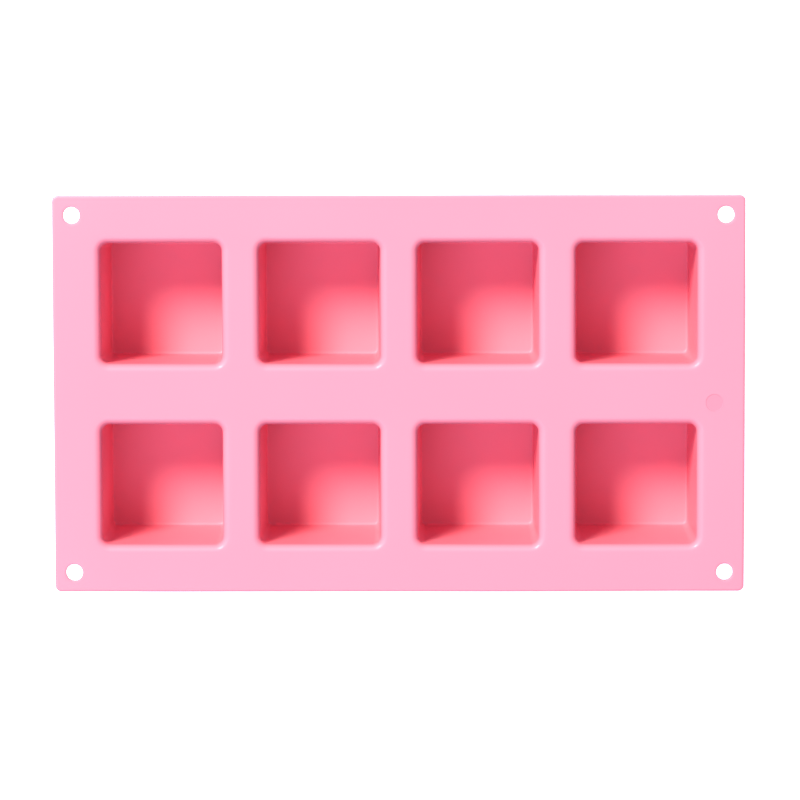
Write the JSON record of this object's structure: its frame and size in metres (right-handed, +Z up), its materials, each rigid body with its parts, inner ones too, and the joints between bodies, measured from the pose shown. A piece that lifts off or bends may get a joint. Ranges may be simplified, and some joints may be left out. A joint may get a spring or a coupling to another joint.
{
  "type": "silicone cube soap mould",
  "caption": "One-piece silicone mould: a thin flat sheet with rows of deep square drafted cups for casting cubes of soap, wax or resin, and a hanging hole in each corner.",
  "frame": {"origin": "under the middle of the mould, on the surface that its cups stand on", "axes": "+X along the rows of cups, +Y from the front row to the back row, +Z up out of the cavities' mouths"},
  "size_m": [0.287, 0.1656, 0.05],
  "materials": {
    "pink_silicone": "satin"
  },
  "bodies": {
    "root": {"top_sheet": "pink_silicone", "cup_front_1": "pink_silicone", "cup_front_2": "pink_silicone", "cup_front_3": "pink_silicone", "cup_front_4": "pink_silicone", "cup_back_1": "pink_silicone", "cup_back_2": "pink_silicone", "cup_back_3": "pink_silicone", "cup_back_4": "pink_silicone"}
  },
  "joints": []
}
